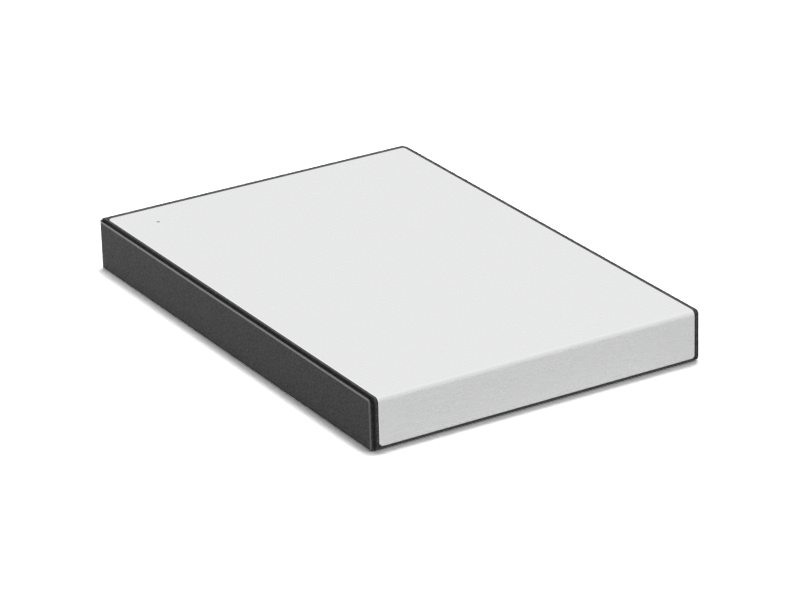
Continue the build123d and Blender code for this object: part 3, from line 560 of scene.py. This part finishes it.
# Rubber blocks beside the drive, and strips of open foam under it, over it and in front of it, hold it clear
# of every wall of the case, so that a knock doesn't reach it.
foam_grey = (0.055, 0.055, 0.058)
bumper_rubber = finished(
    "bumper_rubber",
    speckle,
    rubber_black,
    contrast=0.20,
    roughness=0.66,
    depth=30 * micron,
    pattern={"Grains": 2200.0},
)
dress(bumper_rubber, "side_bumpers")
open_foam = finished(
    "open_foam",
    speckle,
    foam_grey,
    contrast=0.45,
    roughness=0.85,
    depth=120 * micron,
    pattern={"Grains": 1500.0},
)
dress(open_foam, "lower_pads", "upper_pads", "front_pad")

# The tray and the lid are injection moulded in a black polycarbonate blend, against tools whose spark-eroded
# faces leave a fine satin grain. The lid's hooks snap into the tray, with a shadow groove along the join.
case_black = (0.071, 0.071, 0.072)
# The lighter tone below is a painted highlight on the case's edge slopes
painted_highlight_black = (0.24, 0.24, 0.242)
# The dark tone below is painted shade along the seam round the metal
seam_shade_black = (0.012, 0.012, 0.012)
seam_shade_width = 0.0002
slope_start = 0.3
slope_full = 0.55
cover_low, cover_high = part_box("top_cover")
case_plastic = finished(
    "case_plastic",
    speckle,
    case_black,
    contrast=0.75,
    roughness=0.60,
    depth=40 * micron,
    pattern={"Grains": 2800.0},
    specular=0.25,
)

# Narrow slopes along the top and front edges, facing up, forward or sideways but not backward, where the
# lamps catch them: the mask for a painted highlight
painted_highlight_slopes, given, result = new_group("painted_highlight_slopes", [], [("Mask", "Float")])
surface = add_node(painted_highlight_slopes, "NewGeometry", {})
split = add_node(painted_highlight_slopes, "SeparateXYZ", {0: surface.outputs["True Normal"]})
sideways = calculate(painted_highlight_slopes, "ABSOLUTE", split.outputs["X"])
backward = calculate(painted_highlight_slopes, "MAXIMUM", split.outputs["Y"], 0.0)
forward = calculate(painted_highlight_slopes, "MINIMUM", split.outputs["Y"], 0.0)
upward = calculate(painted_highlight_slopes, "MAXIMUM", split.outputs["Z"], 0.0)
downward = calculate(painted_highlight_slopes, "MINIMUM", split.outputs["Z"], 0.0)
rim_side = calculate(painted_highlight_slopes, "SUBTRACT", sideways, backward)
rim_share = calculate(painted_highlight_slopes, "SUBTRACT", rim_side, downward)
face_share = calculate(painted_highlight_slopes, "SUBTRACT", upward, forward)
lesser = calculate(painted_highlight_slopes, "MINIMUM", rim_share, face_share)
sloped = add_node(painted_highlight_slopes, "MapRange", {"Value": lesser, "From Min": slope_start, "From Max": slope_full})
painted_highlight_slopes.links.new(sloped.outputs[0], result["Mask"])


def overlay(material, mask, tone):
    """Lay a tone over the material's own colour where the mask is 1."""
    tree = material.node_tree
    base = tree.nodes["Principled BSDF"].inputs["Base Color"]
    under = base.links[0].from_socket
    mix = add_node(tree, "Mix", {0: mask, colour_a: under, colour_b: (*tone, 1.0)}, data_type="RGBA")
    tree.links.new(mix.outputs[mixed_colour], base)


def paint_highlight_and_smooth_slopes(material, tone, roughness):
    """Paint a highlight on the narrow slopes between the show faces with a lighter tone, and smooth their
    finish.
    """
    tree = material.node_tree
    mask = tree.nodes.new("ShaderNodeGroup")
    mask.node_tree = painted_highlight_slopes
    overlay(material, mask.outputs["Mask"], tone)
    finish = tree.nodes["Principled BSDF"].inputs["Roughness"]
    under = finish.links[0].from_socket
    mix = add_node(tree, "Mix", {"Factor": mask.outputs["Mask"], "A": under, "B": roughness})
    tree.links.new(mix.outputs["Result"], finish)


# Painted highlight: the case's edge slopes get a lighter tone, and a smoother finish
paint_highlight_and_smooth_slopes(case_plastic, painted_highlight_black, roughness=0.38)

# Painted shade: a dark line on the lid's rim along the hairline seam next to the metal, where shade falls
# into the gap
tree = case_plastic.node_tree
place = add_node(tree, "TexCoord", {})
split = add_node(tree, "SeparateXYZ", {0: place.outputs["Object"]})
from_middle = calculate(tree, "ABSOLUTE", split.outputs["X"])
past_side = calculate(tree, "SUBTRACT", from_middle, cover_high.x)
past_back = calculate(tree, "SUBTRACT", split.outputs["Y"], cover_high.y)
past_edge = calculate(tree, "MAXIMUM", past_side, past_back)
at_edge = calculate(tree, "COMPARE", past_edge, 0.0, seam_shade_width)
above_lip = calculate(tree, "GREATER_THAN", split.outputs["Z"], cover_low.z)
painted_seam_shade = calculate(tree, "MULTIPLY", at_edge, above_lip)
overlay(case_plastic, painted_seam_shade, seam_shade_black)
dress(case_plastic, "lower_case", "upper_case")

# A clear polycarbonate rod carries the light up to a dot in the metal. It is moulded and polished, and looks
# dark while the light is off, because only the inside of the case shows through it.
unlit_grey = (0.24, 0.25, 0.26)
clear_rod = finished(
    "clear_rod",
    speckle,
    unlit_grey,
    contrast=0.10,
    roughness=0.10,
    depth=2 * micron,
    pattern={"Grains": 900.0},
)
dress(clear_rod, "light_pipe")

# The outer cover is one sheet of aluminium, bent down over the front end and stuck into the lid's recess
# with a thin film. It is brushed across its width, and its edges are cut bright afterwards; their lighter
# tone is partly a painted highlight.
film_cream = (0.52, 0.48, 0.38)
brushed_silver = (0.872, 0.874, 0.878)
cut_and_painted_highlight_silver = (0.97, 0.972, 0.975)
adhesive_film = finished(
    "adhesive_film",
    speckle,
    film_cream,
    contrast=0.08,
    roughness=0.60,
    depth=10 * micron,
    pattern={"Grains": 1200.0},
)
dress(adhesive_film, "cover_adhesive")
cover_aluminium = brushed_metal(
    "cover_aluminium",
    brushed_silver,
    contrast=0.012,
    roughness=0.29,
    depth=4 * micron,
    lines=(180.0, 3500.0, 3500.0),
)
# The cut edges are truly smoother, and their lighter tone is partly a painted highlight on the slopes that
# face the light
paint_highlight_and_smooth_slopes(cover_aluminium, cut_and_painted_highlight_silver, roughness=0.24)
dress(cover_aluminium, "top_cover")

# The drive lies on a wide pale sheet of paper, which the camera sees as white and reflections at about its
# own tone. The drive's shadow stays on it.
floor_half = 3.0
floor_level = -0.00002
paper_white = (0.72, 0.72, 0.72, 1.0)
ground_white = (0.95, 0.95, 0.95, 1.0)
mirrored_share = 0.05
floor_corners = [
    (-floor_half, -floor_half, 0.0),
    (floor_half, -floor_half, 0.0),
    (floor_half, floor_half, 0.0),
    (-floor_half, floor_half, 0.0),
]
floor_mesh = bpy.data.meshes.new("floor")
floor_mesh.from_pydata(floor_corners, [], [(0, 1, 2, 3)])
floor = bpy.data.objects.new("floor", floor_mesh)
bpy.context.scene.collection.objects.link(floor)
floor.location.z = floor_level
floor_paper = bpy.data.materials.new("floor_paper")
floor_paper.use_nodes = True
tree = floor_paper.node_tree
tree.nodes.clear()


def seen_directly(tree, path):
    """Give 1 for rays that come straight from the camera or through glass."""
    return calculate(tree, "MAXIMUM", path.outputs["Is Camera Ray"], path.outputs["Is Transmission Ray"])


path = add_node(tree, "LightPath", {})
mirrored = calculate(tree, "MULTIPLY", path.outputs["Is Glossy Ray"], mirrored_share)
shared = calculate(tree, "MAXIMUM", seen_directly(tree, path), mirrored)
paper = add_node(tree, "BsdfDiffuse", {"Color": paper_white})
ground = add_node(tree, "BsdfDiffuse", {"Color": ground_white})
both = add_node(tree, "AddShader", {0: paper.outputs[0], 1: ground.outputs[0]})
shown = add_node(tree, "MixShader", {0: shared, 1: paper.outputs[0], 2: both.outputs[0]})
add_node(tree, "OutputMaterial", {"Surface": shown.outputs[0]})
floor_mesh.materials.append(floor_paper)

# A white tent stands all round, with its walls a little dimmer than its roof, so that the metal has
# something even to reflect. To matt surfaces it is only a weak fill.
roof_glow = 1.0
front_wall_glow = 0.78
back_wall_glow = 0.94
fill_glow = 0.18
front_wall = (-0.85, 0.0)
back_wall = (0.05, 0.45)
tent_white = (1.0, 1.0, 1.0, 1.0)
world = bpy.data.worlds.new("tent")
bpy.context.scene.world = world
world.use_nodes = True
tree = world.node_tree
sky = tree.nodes["Background"]
way = add_node(tree, "TexCoord", {})
split = add_node(tree, "SeparateXYZ", {0: way.outputs["Generated"]})


def wall_glow(tree, backward, span, start, end):
    """Give a strength that goes from start to end as the way back crosses the span."""
    limits = {"From Min": span[0], "From Max": span[1], "To Min": start, "To Max": end}
    return add_node(tree, "MapRange", {"Value": backward, **limits}).outputs[0]


front_glow = wall_glow(tree, split.outputs["Y"], front_wall, front_wall_glow, roof_glow)
back_glow = wall_glow(tree, split.outputs["Y"], back_wall, roof_glow, back_wall_glow)
glow = calculate(tree, "MULTIPLY", front_glow, back_glow)
path = add_node(tree, "LightPath", {})
lit = add_node(tree, "Mix", {"Factor": path.outputs["Is Glossy Ray"], "A": fill_glow, "B": glow})
shown = add_node(
    tree, "Mix", {"Factor": seen_directly(tree, path), "A": lit.outputs["Result"], "B": roof_glow}
)
tree.links.new(shown.outputs["Result"], sky.inputs["Strength"])
sky.inputs["Color"].default_value = tent_white

# A soft box hangs almost straight above, a little behind and to the right. A small one lights the left wall
# from the back, and a wide one fills the floor in front from the right.
middle = (0.0, 0.0, 0.0)
left_wall = (-0.03, 0.03, 0.0)


def soft_box(name, place, aim, width, length, watts):
    """Hang a rectangular lamp that the metal doesn't show."""
    data = bpy.data.lights.new(name, "AREA")
    data.shape = "RECTANGLE"
    data.size = width
    data.size_y = length
    data.energy = watts
    lamp = bpy.data.objects.new(name, data)
    bpy.context.scene.collection.objects.link(lamp)
    lamp.location = place
    lamp.rotation_euler = (Vector(aim) - Vector(place)).to_track_quat("-Z", "Y").to_euler()
    lamp.visible_glossy = False


soft_box("key_box", place=(0.155, 0.115, 1.5), aim=middle, width=0.34, length=0.34, watts=13.0)
soft_box("side_box", place=(-0.22, 0.20, 0.14), aim=left_wall, width=0.15, length=0.10, watts=0.18)
soft_box("fill_box", place=(0.9, -1.1, 0.6), aim=middle, width=0.8, length=0.6, watts=6.0)

# The camera stands at the photograph's view, solved from the straight edges of the case, with a long lens.
# Its lens is given in pixels of a picture 800 wide.
image_width = 800.0
lens_pixels = 4019.88
sensor_width = 36.0
azimuth = math.radians(-30.7141)
elevation = math.radians(23.1068)
roll = math.radians(-1.6144)
distance = 0.8362781
target = Vector((-0.0017924, -0.0068185, 0.00585))
level = Vector((math.cos(azimuth), math.sin(azimuth), 0.0))
ahead = Vector((-math.sin(azimuth), math.cos(azimuth), 0.0))
back = Vector((0.0, 0.0, math.sin(elevation))) - ahead * math.cos(elevation)
upright = back.cross(level)
right = level * math.cos(roll) + upright * math.sin(roll)
up = upright * math.cos(roll) - level * math.sin(roll)
camera_data = bpy.data.cameras.new("camera")
camera_data.sensor_width = sensor_width
camera_data.lens = lens_pixels / image_width * sensor_width
camera_data.clip_start = 0.05
camera_data.clip_end = 20.0
camera = bpy.data.objects.new("camera", camera_data)
bpy.context.scene.collection.objects.link(camera)
facing = Matrix((right, up, back)).transposed().to_4x4()
camera.matrix_world = Matrix.Translation(target + back * distance) @ facing
bpy.context.scene.camera = camera
